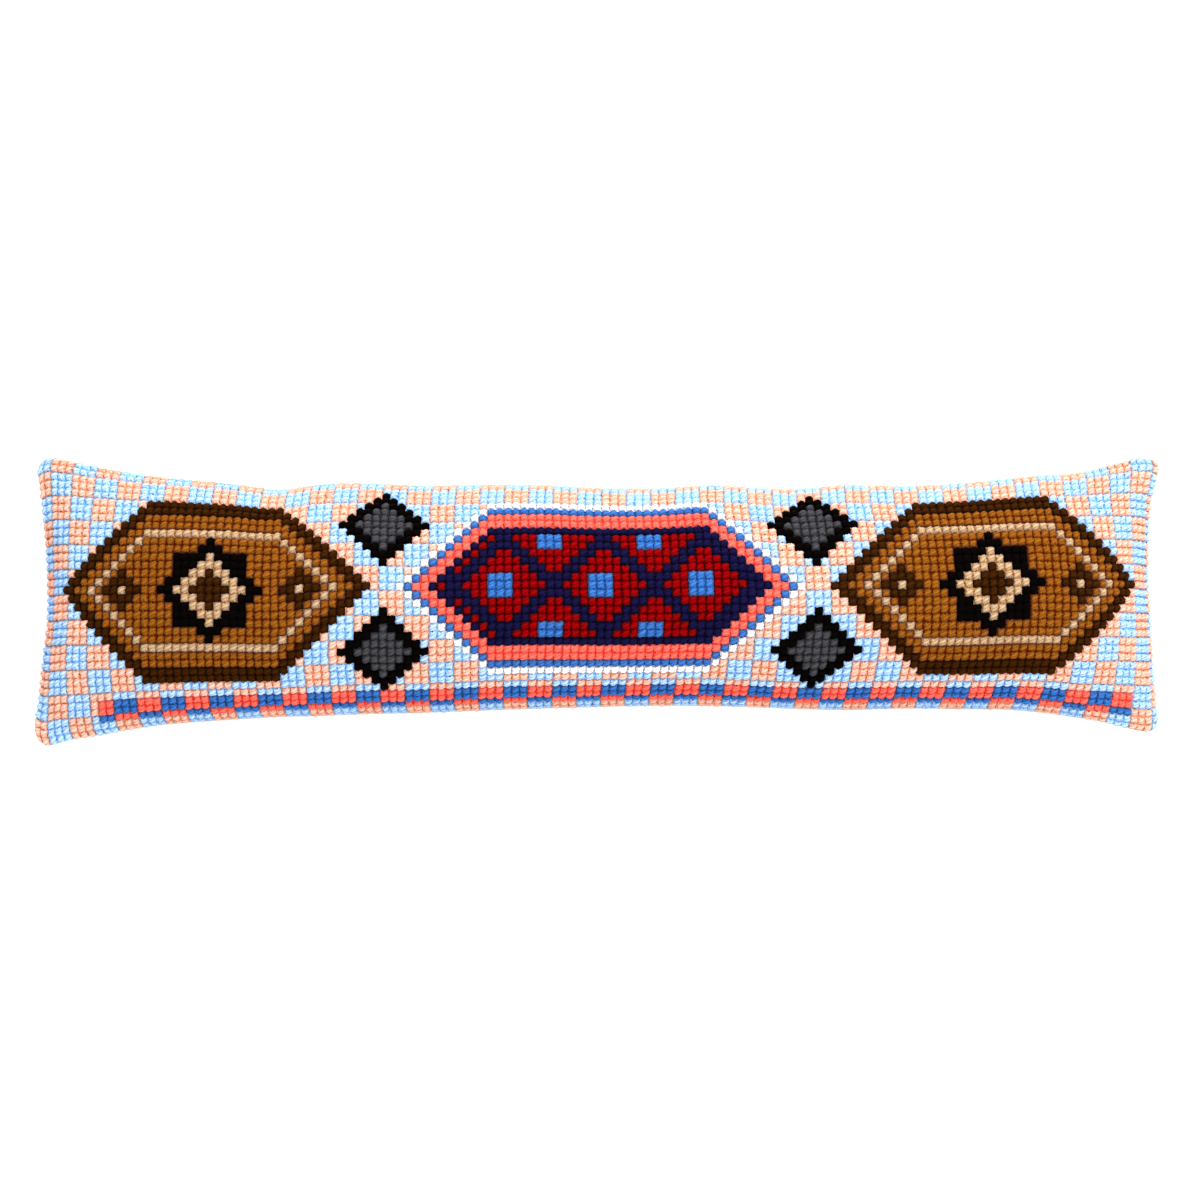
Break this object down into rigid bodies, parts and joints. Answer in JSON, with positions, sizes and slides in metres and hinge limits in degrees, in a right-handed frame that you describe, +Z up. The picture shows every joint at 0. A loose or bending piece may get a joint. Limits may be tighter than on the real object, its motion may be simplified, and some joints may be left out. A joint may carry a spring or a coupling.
{
  "type": "draught excluder",
  "caption": "Long narrow filled cushion with a crowned, cross-stitched front, drawn-in long sides and pointed corners, lying flat on its back.",
  "frame": {"origin": "on the surface the cushion rests on, under the middle of the box round it", "axes": "+X along the cushion, +Y across it towards the long side that is upper in the picture, +Z up out of the stitched front"},
  "size_m": [0.7741, 0.1994, 0.0976],
  "materials": {
    "back_cotton": "matt plain-woven cotton",
    "stitched_wool": "soft chunky wool crosses"
  },
  "bodies": {
    "root": {"filled_body": "back_cotton", "stitched_front": "stitched_wool"}
  },
  "joints": []
}
